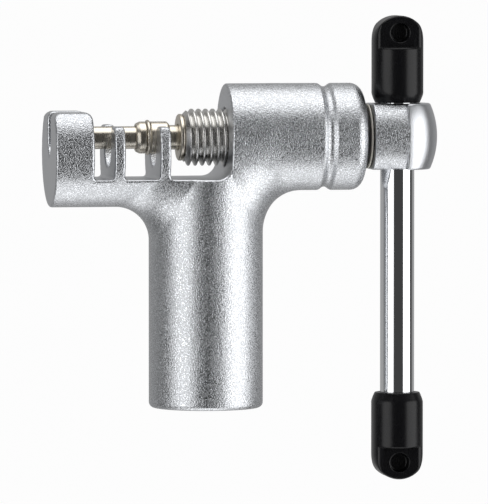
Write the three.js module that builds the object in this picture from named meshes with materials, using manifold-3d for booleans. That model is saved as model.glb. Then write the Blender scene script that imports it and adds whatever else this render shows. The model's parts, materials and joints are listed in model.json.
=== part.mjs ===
// Bicycle chain tool: a screw press that drives the rivet out of a roller chain.
// Millimetres. The origin is the centre of the stem's flat end face, +Z runs up the stem,
// +X runs along the drive screw towards its head, and the cradle for the chain lies at -X.
import * as THREE from 'three';
import { mergeVertices } from 'three/addons/utils/BufferGeometryUtils.js';
import Module from 'manifold-3d';

const wasm = await Module();
wasm.setup();

// Clearances.
const SEAT_GAP = 0.15;       // between pieces that bear on each other
const RUN_GAP = 0.2;         // radial, between a shaft and the bore that it turns or slides in
const OVERLAP = 0.5;         // how far one lump of the body runs into the next

// Fineness of round surfaces.
const ROUND_SIDES = 40;
const SMALL_ROUND_SIDES = 28;
const ARC_STEPS = 6;

// Stem.
const STEM_RADIUS = 10;
const STEM_EDGE_ROUND = 1;
const STEM_CROWN = { straightTo: 36, top: 44.5, radius: 9.2 };

// Boss around the drive screw.
const SCREW_HEIGHT = 47.4;
const BOSS_RADIUS = 9.4;
const BOSS_START = 3.2;
const BOSS_LENGTH = 24.4;
const BOSS_FACE_ROUND = 0.6;
const BOSS_END_ROUND = { along: 2, radial: 2.2 };
const BOSS_GROOVE = { fromEnd: 6.7, width: 1.9, depth: 0.6 };
const BOSS_TO_STEM_FILLET = 6.8;

// Arm with the anvil block and the chain cradle.
const ARM_RADIUS = 9.4;
const ARM_DROP = 2.7;        // arm axis below the screw axis
const ARM_REACH = 27.7;      // stem axis to the anvil's outer face
const ARM_TO_STEM_FILLET = 6;
const ARM_EDGE = 0.4;
const ANVIL_THICKNESS = 6.8;
const ANVIL_TOP = 4.6;       // above the screw axis
const ANVIL_CORNER_ROUND = 1.2;
const SLOT_WIDTH = 3.7;
const SLOT_DEPTH_BELOW_AXIS = 3.3;
const CRADLE_FLOOR = 7.1;    // below the screw axis
const CRADLE_ROOT_ROUND = 0.6;
const CRADLE_END_ROUND = 2.6;
const RIB_THICKNESS = 1.9;
const RIB_TOP = 2.1;         // above the screw axis
const RIB_EDGE_ROUND = 0.45;
const ANVIL_TO_RIB = 3.5;
const RIB_PITCH = 8;
const RIB_COUNT = 2;
const ROLLER_NOTCH = { radius: 4.2, drop: 0.9 };

// Spindle: drive screw and head.
const THREAD = { radius: 5, depth: 0.77, pitch: 1.25, sides: 18 };
const SCREW_PROUD = 7.3;     // thread that stands out of the boss's face, fully driven in
const NECK_RADIUS = 4;
const NECK_UNDER = 0.6;      // how far the neck starts inside the boss
const HEAD_HALF_HEIGHT = 5.8;    // screw axis to each flat that a grip cap rests on
const HEAD_RADIUS = 6.9;         // straight part, about the screw axis
const HEAD_BARREL = { radius: 7, bulge: 13.9 };   // round end about the bar's axis
const HEAD_LENGTH = 5.9;         // straight part, up to the crease
const HEAD_BEVEL = 0.3;
const BAR_FROM_CREASE = 0.8;     // bar axis from the crease in the head
const CREASE_OVERLAP = 0.3;      // how far the straight part runs into the round end
const O_RING = { section: 0.35, outer: 5.6 };
const WASHER = { thickness: 0.3, outer: 5.7 };

// Pin carrier, which the screw pushes but doesn't turn.
const PIN = { radius: 1.98, length: 12.85, chamfer: 0.3 };
const PIN_FROM_ANVIL = 0.4;      // pin tip to the anvil's inner face, fully driven in
const HOLDER = { radius: 2.8, length: 5.9, cone: 0.7, mouth: 2.45, chamfer: 0.4, wallEnd: 0.9 };
const HOLDER_NECK = 2.15;
const HOLDER_FOOT = { radius: 2.55, length: 7 };
const SNAP_RING = { outer: 3.1, inner: 2.55, width: 0.7, gapAngle: 0.7, fromTip: 1.8 };
const RETAINER = { flange: 4.1, thickness: 0.7, bevel: 0.2, spigot: 3.1, spigotLength: 2.7 };
const RETAINER_TO_THREAD = 0.2;
const BALL_RADIUS = 2.5;

// Tommy bar and its two grip caps.
const BAR_RADIUS = 3;
const BAR_CHAMFER = 0.4;
const CAP_RADIUS = 4.65;
const CAP_LENGTH = 15.1;
const CAP_NECK = { radius: 3.95, length: 1.6 };
const CAP_FLAT = { length: 5.6, fromAxis: 2.8 };
const CAP_HOLE = { radius: 1.68, fromTip: 3, depth: 1.9 };
const CAP_BORE_DEPTH = 9.2;
const CAP_SEAT = 0.3;        // upper cap to the head, with the bar slid right down
const BAR_TRAVEL = 39.2;

// Places that follow from the sizes above.
const armHeight = SCREW_HEIGHT - ARM_DROP;
const floorHeight = SCREW_HEIGHT - CRADLE_FLOOR;
const anvilInner = -ARM_REACH + ANVIL_THICKNESS;
const firstRib = anvilInner + ANVIL_TO_RIB;
const bossEnd = BOSS_START + BOSS_LENGTH;
const screwStart = BOSS_START - SCREW_PROUD;
const ringStart = bossEnd + SEAT_GAP;
const washerStart = ringStart + 2 * O_RING.section + SEAT_GAP;
const headStart = washerStart + WASHER.thickness + SEAT_GAP;
const creaseAt = headStart + HEAD_LENGTH;
const barAt = creaseAt - BAR_FROM_CREASE;
const retainerStart = screwStart - RETAINER_TO_THREAD - RETAINER.thickness;
const retainerEnd = screwStart - RETAINER_TO_THREAD + RETAINER.spigotLength;
const pinTip = anvilInner + PIN_FROM_ANVIL;
const holderStart = pinTip + PIN.length - HOLDER.length + HOLDER.wallEnd + SEAT_GAP;
const footStart = retainerEnd + SEAT_GAP;
const footEnd = footStart + HOLDER_FOOT.length;

// Finishes.
const finishes = {
  castChrome: { color: 0xbfc0c2, roughness: 0.42, metalness: 1 },
  brightSteel: { color: 0xb9b6ae, roughness: 0.3, metalness: 1 },
  warmSteel: { color: 0xb5a788, roughness: 0.3, metalness: 1 },
  polishedChrome: { color: 0xdadcde, roughness: 0.08, metalness: 1 },
  darkRubber: { color: 0x1a1b1d, roughness: 0.6, metalness: 0 },
  paleWasher: { color: 0xe4dfd2, roughness: 0.5, metalness: 0 },
  blackPlastic: { color: 0x0c0c0d, roughness: 0.25, metalness: 0 },
};

// ---- solids ----

// A closed geometry as a manifold solid with its faces outwards.
function toSolid(geometry) {
  const bare = geometry.clone();
  bare.deleteAttribute('normal');
  bare.deleteAttribute('uv');
  const merged = mergeVertices(bare, 1e-4);
  const corners = merged.index.array;
  const kept = [];
  for (let i = 0; i < corners.length; i += 3) {
    const [a, b, c] = [corners[i], corners[i + 1], corners[i + 2]];
    if (a !== b && b !== c && c !== a) kept.push(a, b, c);
  }
  const points = merged.attributes.position;
  const triangles = signedVolume(points, kept) < 0 ? kept.reverse() : kept;
  return new wasm.Manifold(new wasm.Mesh({
    numProp: 3,
    vertProperties: new Float32Array(points.array),
    triVerts: new Uint32Array(triangles),
  }));
}

function signedVolume(points, triangles) {
  const [a, b, c] = [new THREE.Vector3(), new THREE.Vector3(), new THREE.Vector3()];
  let volume = 0;
  for (let i = 0; i < triangles.length; i += 3) {
    a.fromBufferAttribute(points, triangles[i]);
    b.fromBufferAttribute(points, triangles[i + 1]);
    c.fromBufferAttribute(points, triangles[i + 2]);
    volume += a.dot(b.cross(c)) / 6;
  }
  return volume;
}

function toGeometry(solid) {
  const mesh = solid.getMesh();
  const geometry = new THREE.BufferGeometry();
  geometry.setAttribute('position', new THREE.BufferAttribute(mesh.vertProperties, 3));
  geometry.setIndex(new THREE.BufferAttribute(mesh.triVerts, 1));
  geometry.computeVertexNormals();
  return geometry;
}

// A profile of [along, radius] points turned about the X or Z axis.
function turned(profile, axis = 'x', sides = ROUND_SIDES) {
  const points = profile.map(([along, radius]) => new THREE.Vector2(radius, along));
  const geometry = new THREE.LatheGeometry(points, sides);
  if (axis === 'x') geometry.rotateZ(-Math.PI / 2);
  else geometry.rotateX(Math.PI / 2);
  return toSolid(geometry);
}

// A plain round bar or bore from one place to another on the X axis.
function roundX(from, to, radius, sides = ROUND_SIDES) {
  return turned([[from, 0], [from, radius], [to, radius], [to, 0]], 'x', sides);
}

// A quarter of an ellipse as points, from angle start to angle end.
function quarter(centreAlong, centreRadius, along, radial, start, end) {
  const curve = new THREE.EllipseCurve(centreAlong, centreRadius, along, radial, start, end, end < start);
  return curve.getPoints(ARC_STEPS).map((p) => [p.x, p.y]);
}

// A closed outline whose corners, given as [x, y, round], are rounded off.
function roundedOutline(corners) {
  const shape = new THREE.Shape();
  corners.forEach(([x, y, round = 0], i) => {
    const here = new THREE.Vector2(x, y);
    const before = new THREE.Vector2(...corners.at(i - 1).slice(0, 2));
    const after = new THREE.Vector2(...corners[(i + 1) % corners.length].slice(0, 2));
    const enter = before.sub(here).setLength(round).add(here);
    const leave = after.sub(here).setLength(round).add(here);
    if (i === 0) shape.moveTo(enter.x, enter.y);
    else shape.lineTo(enter.x, enter.y);
    if (round > 0) shape.quadraticCurveTo(here.x, here.y, leave.x, leave.y);
  });
  return shape;
}

// An outline in X and Z, extruded to both sides of the XZ plane.
function acrossY(shape, width) {
  const geometry = new THREE.ExtrudeGeometry(shape, {
    depth: width,
    bevelEnabled: false,
    curveSegments: ARC_STEPS,
  });
  geometry.rotateX(Math.PI / 2);
  geometry.translate(0, width / 2, 0);
  return toSolid(geometry);
}

// An outline in Y and Z, extruded along X.
function alongX(shape, from, to) {
  const geometry = new THREE.ExtrudeGeometry(shape, {
    depth: to - from,
    bevelEnabled: false,
    curveSegments: 2 * ARC_STEPS,
  });
  const toYZ = new THREE.Matrix4().makeBasis(
    new THREE.Vector3(0, 1, 0),
    new THREE.Vector3(0, 0, 1),
    new THREE.Vector3(1, 0, 0),
  );
  geometry.applyMatrix4(toYZ);
  geometry.translate(from, 0, 0);
  return toSolid(geometry);
}

// Sections with the same number of points, skinned one to the next and closed by flat ends.
function lofted(sections) {
  const count = sections[0].length;
  const positions = sections.flat().flatMap((p) => [p.x, p.y, p.z]);
  const indices = [];
  for (let s = 0; s < sections.length - 1; s += 1) {
    for (let i = 0; i < count; i += 1) {
      const a = s * count + i;
      const b = s * count + ((i + 1) % count);
      indices.push(a, b, b + count, a, b + count, a + count);
    }
  }
  const last = (sections.length - 1) * count;
  for (let i = 1; i < count - 1; i += 1) {
    indices.push(0, i + 1, i);
    indices.push(last, last + i, last + i + 1);
  }
  const geometry = new THREE.BufferGeometry();
  geometry.setAttribute('position', new THREE.Float32BufferAttribute(positions, 3));
  geometry.setIndex(indices);
  return toSolid(geometry);
}

// ---- body ----

function stem() {
  const crown = STEM_CROWN;
  return turned([
    [0, 0],
    ...quarter(STEM_EDGE_ROUND, STEM_RADIUS - STEM_EDGE_ROUND, STEM_EDGE_ROUND, STEM_EDGE_ROUND,
      Math.PI, Math.PI / 2),
    ...quarter(crown.straightTo, crown.radius, crown.top - crown.straightTo,
      STEM_RADIUS - crown.radius, Math.PI / 2, 0),
    [crown.top, 0],
  ], 'z');
}

function arm() {
  const end = BOSS_START + 3 * OVERLAP;
  const bar = turned([
    [-ARM_REACH, 0],
    [-ARM_REACH, ARM_RADIUS - ARM_EDGE],
    [-ARM_REACH + ARM_EDGE, ARM_RADIUS],
    [end, ARM_RADIUS],
    [end, 0],
  ]);
  return bar.translate([0, 0, armHeight]);
}

// The fillet in the corner between the stem and a round bar that crosses above it.
// At each Y the stem is an upright line and the bar's underside a level one.
function cornerFillet(side, barRadius, barHeight, radius, reach) {
  const sections = [];
  const slices = 4 * ARC_STEPS;
  for (let s = 0; s <= slices; s += 1) {
    const y = reach * (2 * s / slices - 1);
    const wall = Math.sqrt(STEM_RADIUS ** 2 - y ** 2);
    const ceiling = barHeight - Math.sqrt(barRadius ** 2 - y ** 2);
    const size = radius * Math.sqrt(1.02 - (y / reach) ** 2);
    const curve = new THREE.EllipseCurve(wall + size, ceiling - size, size, size, Math.PI / 2, Math.PI);
    const arc = curve.getPoints(ARC_STEPS);
    const inner = wall - 4 * OVERLAP;
    const upper = ceiling + OVERLAP / 2;
    const outline = [[inner, upper], [wall + size, upper], ...arc.map((p) => [p.x, p.y]),
      [inner, ceiling - size]];
    sections.push(outline.map(([x, z]) => new THREE.Vector3(side * x, y, z)));
  }
  return lofted(sections);
}

// Everything below this outline is left standing: the anvil, the ribs and the cradle's floor.
function sideOutline() {
  const bottom = -OVERLAP;
  const far = bossEnd;
  const anvilTop = SCREW_HEIGHT + ANVIL_TOP;
  const ribTop = SCREW_HEIGHT + RIB_TOP;
  const corners = [
    [-ARM_REACH, bottom],
    [-ARM_REACH, anvilTop, ANVIL_CORNER_ROUND],
    [anvilInner, anvilTop, ANVIL_CORNER_ROUND],
    [anvilInner, floorHeight, CRADLE_ROOT_ROUND],
  ];
  for (let i = 0; i < RIB_COUNT; i += 1) {
    const left = firstRib + i * RIB_PITCH;
    const right = left + RIB_THICKNESS;
    corners.push(
      [left, floorHeight, CRADLE_ROOT_ROUND],
      [left, ribTop, RIB_EDGE_ROUND],
      [right, ribTop, RIB_EDGE_ROUND],
      [right, floorHeight, CRADLE_ROOT_ROUND],
    );
  }
  corners.push(
    [BOSS_START, floorHeight, CRADLE_END_ROUND],
    [BOSS_START, SCREW_HEIGHT],
    [far, SCREW_HEIGHT],
    [far, bottom],
  );
  return roundedOutline(corners);
}

function boss() {
  const grooveStart = BOSS_LENGTH - BOSS_GROOVE.fromEnd - BOSS_GROOVE.width / 2;
  const grooveMiddle = grooveStart + BOSS_GROOVE.width / 2;
  const profile = [
    [0, 0],
    ...quarter(BOSS_FACE_ROUND, BOSS_RADIUS - BOSS_FACE_ROUND, BOSS_FACE_ROUND, BOSS_FACE_ROUND,
      Math.PI, Math.PI / 2),
    [grooveStart, BOSS_RADIUS],
    [grooveMiddle - BOSS_GROOVE.width / 6, BOSS_RADIUS - BOSS_GROOVE.depth],
    [grooveMiddle + BOSS_GROOVE.width / 6, BOSS_RADIUS - BOSS_GROOVE.depth],
    [grooveStart + BOSS_GROOVE.width, BOSS_RADIUS],
    ...quarter(BOSS_LENGTH - BOSS_END_ROUND.along, BOSS_RADIUS - BOSS_END_ROUND.radial,
      BOSS_END_ROUND.along, BOSS_END_ROUND.radial, Math.PI / 2, 0),
    [BOSS_LENGTH, 0],
  ];
  return turned(profile).translate([BOSS_START, 0, SCREW_HEIGHT]);
}

// The seat for a chain roller, cut through both ribs.
function rollerNotch() {
  const { radius, drop } = ROLLER_NOTCH;
  const centre = SCREW_HEIGHT - drop;
  const top = SCREW_HEIGHT + RIB_TOP + OVERLAP;
  const shape = new THREE.Shape();
  shape.moveTo(radius, top);
  shape.lineTo(-radius, top);
  shape.lineTo(-radius, centre);
  shape.absarc(0, centre, radius, Math.PI, 2 * Math.PI, false);
  shape.lineTo(radius, top);
  const lastRib = firstRib + (RIB_COUNT - 1) * RIB_PITCH;
  return alongX(shape, firstRib - OVERLAP, lastRib + RIB_THICKNESS + OVERLAP);
}

// The slot that the chain rivet leaves by, open at the top and pointed at the bottom.
function anvilSlot() {
  const half = SLOT_WIDTH / 2;
  const bottom = SCREW_HEIGHT - SLOT_DEPTH_BELOW_AXIS;
  const top = SCREW_HEIGHT + ANVIL_TOP + OVERLAP;
  const shape = roundedOutline([
    [-half, top],
    [-half, bottom + half, half / 2],
    [0, bottom, half / 4],
    [half, bottom + half, half / 2],
    [half, top],
  ]);
  return alongX(shape, -ARM_REACH - OVERLAP, anvilInner + OVERLAP);
}

function body() {
  const armReachY = 0.97 * Math.sqrt(ARM_RADIUS ** 2 - (armHeight - floorHeight) ** 2);
  const bossReachY = 0.97 * Math.sqrt(BOSS_RADIUS ** 2 - (SCREW_HEIGHT - STEM_CROWN.top) ** 2);
  const leftFillet = cornerFillet(-1, ARM_RADIUS, armHeight, ARM_TO_STEM_FILLET, armReachY);
  const rightFillet = cornerFillet(1, BOSS_RADIUS, SCREW_HEIGHT, BOSS_TO_STEM_FILLET, bossReachY);
  const bore = roundX(BOSS_START - OVERLAP, bossEnd + OVERLAP, THREAD.radius + RUN_GAP);
  return stem()
    .add(arm())
    .add(leftFillet)
    .intersect(acrossY(sideOutline(), 4 * STEM_RADIUS))
    .add(boss())
    .add(rightFillet)
    .subtract(bore.translate([0, 0, SCREW_HEIGHT]))
    .subtract(rollerNotch())
    .subtract(anvilSlot());
}

// ---- spindle ----

// A right-hand thread: each row of points follows the helix, and both ends are bevelled off.
function threadedRod(length) {
  const { radius, depth, pitch, sides } = THREAD;
  const turns = Math.ceil(length / pitch) + 1;
  const points = [new THREE.Vector2(0, 0)];
  for (let row = 0; row <= 2 * turns; row += 1) {
    points.push(new THREE.Vector2(radius - depth * (row % 2), (row / 2 - 1) * pitch));
  }
  points.push(new THREE.Vector2(0, length));
  const geometry = new THREE.LatheGeometry(points, sides);
  const position = geometry.attributes.position;
  for (let i = 0; i < position.count; i += 1) {
    const column = Math.floor(i / points.length);
    const point = points[i % points.length];
    if (point.x === 0) continue;
    const lift = pitch * column / sides;
    const along = Math.min(Math.max(point.y + lift, 0), length);
    const bevel = radius - depth - 0.1 + Math.min(along, length - along);
    const reach = Math.min(point.x, bevel);
    const angle = 2 * Math.PI * column / sides;
    position.setXYZ(i, reach * Math.sin(angle), along, reach * Math.cos(angle));
  }
  geometry.rotateZ(-Math.PI / 2);
  return toSolid(geometry);
}

// Radius of the head's barrel at a height above or below the screw axis.
function barrelRadius(height) {
  const { radius, bulge } = HEAD_BARREL;
  return radius - bulge + Math.sqrt(bulge ** 2 - height ** 2);
}

// A level cylinder up to the crease and a barrel about the bar's axis beyond it,
// both cut to the same two flats.
function spindleHead() {
  const reach = HEAD_HALF_HEIGHT + OVERLAP;
  const heights = Array.from({ length: 2 * ARC_STEPS + 1 }, (_, i) => reach * (i / ARC_STEPS - 1));
  const barrel = turned([
    [-reach, 0],
    ...heights.map((height) => [height, barrelRadius(height)]),
    [reach, 0],
  ], 'z').translate([barAt, 0, 0]);
  const beyond = new THREE.BoxGeometry(2 * STEM_RADIUS, 2 * STEM_RADIUS, 2 * STEM_RADIUS);
  beyond.translate(creaseAt + STEM_RADIUS, 0, 0);
  const cylinder = turned([
    [headStart, 0],
    [headStart, HEAD_RADIUS - HEAD_BEVEL],
    [headStart + HEAD_BEVEL, HEAD_RADIUS],
    [creaseAt + CREASE_OVERLAP, HEAD_RADIUS],
    [creaseAt + CREASE_OVERLAP, 0],
  ]);
  const flats = new THREE.BoxGeometry(2 * STEM_RADIUS, 2 * STEM_RADIUS, 2 * HEAD_HALF_HEIGHT);
  flats.translate(barAt, 0, 0);
  const barHole = turned([
    [-reach, 0],
    [-reach, BAR_RADIUS + RUN_GAP],
    [reach, BAR_RADIUS + RUN_GAP],
    [reach, 0],
  ], 'z', SMALL_ROUND_SIDES).translate([barAt, 0, 0]);
  return barrel
    .intersect(toSolid(beyond))
    .add(cylinder)
    .intersect(toSolid(flats))
    .subtract(barHole)
    .translate([-screwStart, 0, 0]);
}

// Drive screw and head in one piece, hollow at the nose for the pin holder's foot and the ball.
function spindle() {
  const threadEnd = bossEnd - NECK_UNDER - screwStart;
  const headAt = headStart - screwStart;
  const neck = roundX(threadEnd - OVERLAP, headAt + OVERLAP / 2, NECK_RADIUS);
  const ballEnd = footEnd + SEAT_GAP + 2 * BALL_RADIUS + SEAT_GAP - screwStart;
  const bore = roundX(-OVERLAP, ballEnd, HOLDER_FOOT.radius + RUN_GAP, SMALL_ROUND_SIDES);
  const mouthDepth = retainerEnd + SEAT_GAP / 2 - screwStart;
  const mouth = roundX(-OVERLAP, mouthDepth, RETAINER.spigot + SEAT_GAP, SMALL_ROUND_SIDES);
  return threadedRod(threadEnd)
    .add(neck)
    .add(spindleHead())
    .subtract(bore)
    .subtract(mouth);
}

function oRing() {
  const { section, outer } = O_RING;
  const circle = new THREE.EllipseCurve(section, outer - section, section, section);
  return turned(circle.getPoints(2 * ARC_STEPS).map((p) => [p.x, p.y]), 'x', SMALL_ROUND_SIDES);
}

function thrustWasher() {
  const inner = NECK_RADIUS + SEAT_GAP;
  return turned([
    [0, inner],
    [0, WASHER.outer],
    [WASHER.thickness, WASHER.outer],
    [WASHER.thickness, inner],
    [0, inner],
  ]);
}

// ---- pin carrier ----

function drivePin() {
  const { radius, length, chamfer } = PIN;
  return turned([
    [0, 0],
    [0, radius - chamfer],
    [chamfer, radius],
    [length, radius],
    [length, 0],
  ], 'x', SMALL_ROUND_SIDES);
}

function pinHolder() {
  const { radius, length, cone, mouth, chamfer, wallEnd } = HOLDER;
  const groove = SNAP_RING.fromTip;
  const grooveRadius = SNAP_RING.inner - SEAT_GAP;
  const footAt = footStart - holderStart;
  const shaft = turned([
    [0, 0],
    [0, mouth],
    [cone, radius],
    [groove - SEAT_GAP, radius],
    [groove - SEAT_GAP, grooveRadius],
    [groove + SNAP_RING.width + SEAT_GAP, grooveRadius],
    [groove + SNAP_RING.width + SEAT_GAP, radius],
    [length - chamfer, radius],
    [length, radius - chamfer],
    [length, HOLDER_NECK],
    [footAt, HOLDER_NECK],
    [footAt, HOLDER_FOOT.radius],
    [footAt + HOLDER_FOOT.length, HOLDER_FOOT.radius],
    [footAt + HOLDER_FOOT.length, 0],
  ], 'x', SMALL_ROUND_SIDES);
  return shaft.subtract(roundX(-OVERLAP, length - wallEnd, PIN.radius + SEAT_GAP, SMALL_ROUND_SIDES));
}

// An open ring that springs into the holder's groove.
function snapRing() {
  const { outer, inner, width, gapAngle } = SNAP_RING;
  const start = gapAngle / 2;
  const end = 2 * Math.PI - gapAngle / 2;
  const shape = new THREE.Shape();
  shape.absarc(0, 0, outer, start, end, false);
  shape.absarc(0, 0, inner, end, start, true);
  return alongX(shape, 0, width);
}

// Flanged ring in the spindle's nose. The holder's neck turns in it.
function swivelRetainer() {
  const { flange, thickness, bevel, spigot, spigotLength } = RETAINER;
  const inner = HOLDER_NECK + RUN_GAP;
  const stepAt = thickness + RETAINER_TO_THREAD / 2;
  const end = thickness + spigotLength;
  return turned([
    [0, inner],
    [0, flange - 2 * bevel],
    [2 * bevel, flange],
    [stepAt - bevel, flange],
    [stepAt, flange - bevel],
    [stepAt, spigot],
    [end, spigot],
    [end, inner],
    [0, inner],
  ], 'x', SMALL_ROUND_SIDES);
}

// ---- tommy bar ----

const upperCapFoot = HEAD_HALF_HEIGHT + CAP_SEAT;
const lowerCapFoot = -HEAD_HALF_HEIGHT - CAP_SEAT - BAR_TRAVEL;
const barTop = upperCapFoot + CAP_BORE_DEPTH - SEAT_GAP;
const barBottom = lowerCapFoot - CAP_BORE_DEPTH + SEAT_GAP;

function tommyBar() {
  return turned([
    [barBottom, 0],
    [barBottom, BAR_RADIUS - BAR_CHAMFER],
    [barBottom + BAR_CHAMFER, BAR_RADIUS],
    [barTop - BAR_CHAMFER, BAR_RADIUS],
    [barTop, BAR_RADIUS - BAR_CHAMFER],
    [barTop, 0],
  ], 'z', SMALL_ROUND_SIDES);
}

// A grip cap, foot at the origin and tip at +Z: round, arched at the tip, with two flats there.
function gripCap() {
  const round = turned([
    [0, 0],
    [0, CAP_NECK.radius],
    [CAP_NECK.length, CAP_RADIUS],
    [CAP_LENGTH, CAP_RADIUS],
    [CAP_LENGTH, 0],
  ], 'z', ROUND_SIDES);
  const arch = new THREE.Shape();
  arch.moveTo(-CAP_RADIUS, -OVERLAP);
  arch.lineTo(CAP_RADIUS, -OVERLAP);
  arch.absarc(0, CAP_LENGTH - CAP_RADIUS, CAP_RADIUS, 0, Math.PI, false);
  let cap = round.intersect(acrossY(arch, 3 * CAP_RADIUS));
  for (const side of [-1, 1]) {
    const waste = new THREE.BoxGeometry(3 * CAP_RADIUS, CAP_RADIUS, CAP_FLAT.length + OVERLAP);
    waste.translate(0, side * (CAP_FLAT.fromAxis + CAP_RADIUS / 2),
      CAP_LENGTH - CAP_FLAT.length + (CAP_FLAT.length + OVERLAP) / 2);
    const hole = new THREE.CylinderGeometry(CAP_HOLE.radius, CAP_HOLE.radius, 2 * CAP_HOLE.depth,
      SMALL_ROUND_SIDES);
    hole.translate(0, side * CAP_FLAT.fromAxis, CAP_LENGTH - CAP_HOLE.fromTip);
    cap = cap.subtract(toSolid(waste)).subtract(toSolid(hole));
  }
  const bore = turned([
    [-OVERLAP, 0],
    [-OVERLAP, BAR_RADIUS + SEAT_GAP],
    [CAP_BORE_DEPTH, BAR_RADIUS + SEAT_GAP],
    [CAP_BORE_DEPTH, 0],
  ], 'z', SMALL_ROUND_SIDES);
  return cap.subtract(bore);
}

// ---- assembly ----

function piece(name, shape, finish) {
  const geometry = shape.isBufferGeometry ? shape : toGeometry(shape);
  const mesh = new THREE.Mesh(geometry, new THREE.MeshStandardMaterial(finishes[finish]));
  mesh.name = name;
  return mesh;
}

function place(mesh, x, z = 0) {
  mesh.position.set(x, 0, z);
  return mesh;
}

const chainTool = new THREE.Group();
chainTool.add(piece('body', body(), 'castChrome'));

const screwLine = new THREE.Group();
screwLine.position.z = SCREW_HEIGHT;
chainTool.add(screwLine);

screwLine.add(
  place(piece('spindle', spindle(), 'brightSteel'), screwStart),
  place(piece('swivel_retainer', swivelRetainer(), 'warmSteel'), retainerStart),
  place(piece('thrust_ball', new THREE.SphereGeometry(BALL_RADIUS, 20, 12), 'brightSteel'),
    footEnd + SEAT_GAP + BALL_RADIUS),
  place(piece('pin_holder', pinHolder(), 'warmSteel'), holderStart),
  place(piece('drive_pin', drivePin(), 'warmSteel'), pinTip),
  place(piece('pin_snap_ring', snapRing(), 'warmSteel'), holderStart + SNAP_RING.fromTip),
  place(piece('friction_o_ring', oRing(), 'darkRubber'), ringStart),
  place(piece('thrust_washer', thrustWasher(), 'paleWasher'), washerStart),
);

const barLine = new THREE.Group();
barLine.position.x = barAt;
screwLine.add(barLine);

const lowerCap = place(piece('lower_grip_cap', gripCap(), 'blackPlastic'), 0, lowerCapFoot);
lowerCap.rotation.x = Math.PI;
barLine.add(
  piece('tommy_bar', tommyBar(), 'polishedChrome'),
  place(piece('upper_grip_cap', gripCap(), 'blackPlastic'), 0, upperCapFoot),
  lowerCap,
);

export default chainTool;
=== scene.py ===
import json
import math

import bmesh
import bpy
import numpy as np
from bpy.props import FloatProperty, FloatVectorProperty, PointerProperty
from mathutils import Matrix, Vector

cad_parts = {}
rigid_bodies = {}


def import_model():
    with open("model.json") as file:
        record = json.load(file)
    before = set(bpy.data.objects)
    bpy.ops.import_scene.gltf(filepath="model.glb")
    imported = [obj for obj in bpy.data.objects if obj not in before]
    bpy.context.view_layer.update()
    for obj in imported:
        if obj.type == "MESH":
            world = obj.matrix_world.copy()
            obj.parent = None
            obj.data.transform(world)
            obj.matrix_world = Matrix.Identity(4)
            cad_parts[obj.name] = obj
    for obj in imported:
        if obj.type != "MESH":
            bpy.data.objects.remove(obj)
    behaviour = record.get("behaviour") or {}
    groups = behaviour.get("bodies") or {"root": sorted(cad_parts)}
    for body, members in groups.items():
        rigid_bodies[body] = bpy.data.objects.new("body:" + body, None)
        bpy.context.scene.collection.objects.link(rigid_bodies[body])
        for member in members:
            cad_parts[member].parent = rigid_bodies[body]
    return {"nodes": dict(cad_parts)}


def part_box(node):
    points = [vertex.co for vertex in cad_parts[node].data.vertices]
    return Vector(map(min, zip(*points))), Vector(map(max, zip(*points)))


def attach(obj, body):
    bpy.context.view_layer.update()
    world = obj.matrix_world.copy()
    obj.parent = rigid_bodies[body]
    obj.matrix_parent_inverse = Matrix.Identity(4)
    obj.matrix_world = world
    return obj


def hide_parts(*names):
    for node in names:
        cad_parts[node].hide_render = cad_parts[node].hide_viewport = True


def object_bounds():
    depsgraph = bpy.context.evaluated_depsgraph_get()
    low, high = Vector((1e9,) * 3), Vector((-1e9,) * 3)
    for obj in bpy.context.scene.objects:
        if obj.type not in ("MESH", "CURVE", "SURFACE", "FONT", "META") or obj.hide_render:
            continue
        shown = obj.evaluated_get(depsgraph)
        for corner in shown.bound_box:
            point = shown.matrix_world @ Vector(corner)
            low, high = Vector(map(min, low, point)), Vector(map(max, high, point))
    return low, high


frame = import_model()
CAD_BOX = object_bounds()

bl_info = {
    "name": "Bicycle Chain Tool",
    "version": (1, 0, 0),
    "blender": (4, 5, 0),
    "location": "View3D > Sidebar > Chain Tool",
    "description": "Builds a screw-driven bicycle chain tool around its packed frame",
    "category": "Object",
}

MM = 0.001
MERGE_DISTANCE = 1e-7        # metres
SLIVER = 1e-8                # metres
SHARP_ANGLE = math.radians(28)

SEAT_GAP = 0.15              # between pieces that bear on each other
RUN_GAP = 0.2                # between a shaft and what turns on it
VIEW_MIDDLE = Vector((6.8, 0, 27.2))
FLOOR_HALF = 12.0            # metres
FLOOR_DROP = 0.03            # metres, below the lowest point
ROOM_LIGHT = {"right": 2.35, "left": 2.1, "top": 1.95, "table": 1.6, "behind": 0.34, "dark": 0.06}

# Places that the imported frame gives, in millimetres.
BODY_LOW, BODY_HIGH = (Vector(corner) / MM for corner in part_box("body"))
SPINDLE_LOW, SPINDLE_HIGH = (Vector(corner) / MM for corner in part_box("spindle"))
PIN_LOW, PIN_HIGH = (Vector(corner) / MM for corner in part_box("drive_pin"))
HOLDER_LOW, HOLDER_HIGH = (Vector(corner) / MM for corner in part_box("pin_holder"))
RETAINER_LOW, RETAINER_HIGH = (Vector(corner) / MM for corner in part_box("swivel_retainer"))
SNAP_LOW, SNAP_HIGH = (Vector(corner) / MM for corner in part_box("pin_snap_ring"))
O_RING_LOW, O_RING_HIGH = (Vector(corner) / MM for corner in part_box("friction_o_ring"))
WASHER_LOW, WASHER_HIGH = (Vector(corner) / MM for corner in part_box("thrust_washer"))
BAR_LOW, BAR_HIGH = (Vector(corner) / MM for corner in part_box("tommy_bar"))
SCREW_HEIGHT = (PIN_LOW.z + PIN_HIGH.z) / 2
STEM_RADIUS = BODY_HIGH.y
BOSS_RADIUS = BODY_HIGH.z - SCREW_HEIGHT
BAR_X = (BAR_LOW.x + BAR_HIGH.x) / 2
HEAD_HALF_HEIGHT = SPINDLE_HIGH.z - SCREW_HEIGHT


# ---- settings ----

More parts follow.
